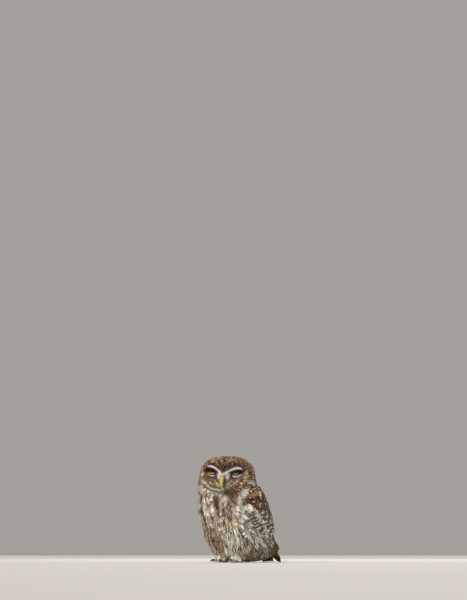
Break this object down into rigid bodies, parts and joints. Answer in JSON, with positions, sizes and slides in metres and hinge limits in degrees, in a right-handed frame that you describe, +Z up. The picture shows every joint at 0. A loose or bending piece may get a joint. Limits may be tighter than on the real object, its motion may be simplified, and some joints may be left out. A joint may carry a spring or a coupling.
{
  "type": "little owl",
  "caption": "Life-size still model of a small owl standing on a flat floor, its head turned to its left, wings folded and tail resting on the floor.",
  "frame": {"origin": "bottom centre of the bounding box, on the floor under the owl", "axes": "+Z up; the trunk faces -Y and the tail points to +Y; the bird's own left is +X"},
  "size_m": [0.0962, 0.1474, 0.1439],
  "materials": {
    "plumage_head": "soft matte feathers, brown with buff streaks and a white brow and throat",
    "plumage_body": "soft matte feathers, off-white streaked with brown",
    "plumage_wing": "smooth matte feathers, brown with white spots",
    "plumage_tail": "smooth matte feathers, brown with pale bars",
    "plumage_leg": "short matte feathers, cream",
    "eye": "wet gloss, yellow iris round a black pupil",
    "lid": "bare skin, dark with a pale rim",
    "claw": "smooth horn, near black",
    "bill": "satin horn, pale yellow-green"
  },
  "bodies": {
    "root": {"head": "plumage_head", "neck": "plumage_head", "trunk": "plumage_body", "tail": "plumage_tail", "wing_left": "plumage_wing", "leg_left": "plumage_leg", "foot_left": "plumage_leg", "eye_left": "eye", "lid_upper_left": "lid", "lid_lower_left": "lid", "claw_inner_left": "claw", "claw_middle_left": "claw", "claw_outer_left": "claw", "claw_hind_left": "claw", "wing_right": "plumage_wing", "leg_right": "plumage_leg", "foot_right": "plumage_leg", "eye_right": "eye", "lid_upper_right": "lid", "lid_lower_right": "lid", "claw_inner_right": "claw", "claw_middle_right": "claw", "claw_outer_right": "claw", "claw_hind_right": "claw", "bill_upper": "bill", "bill_lower": "bill"}
  },
  "joints": []
}
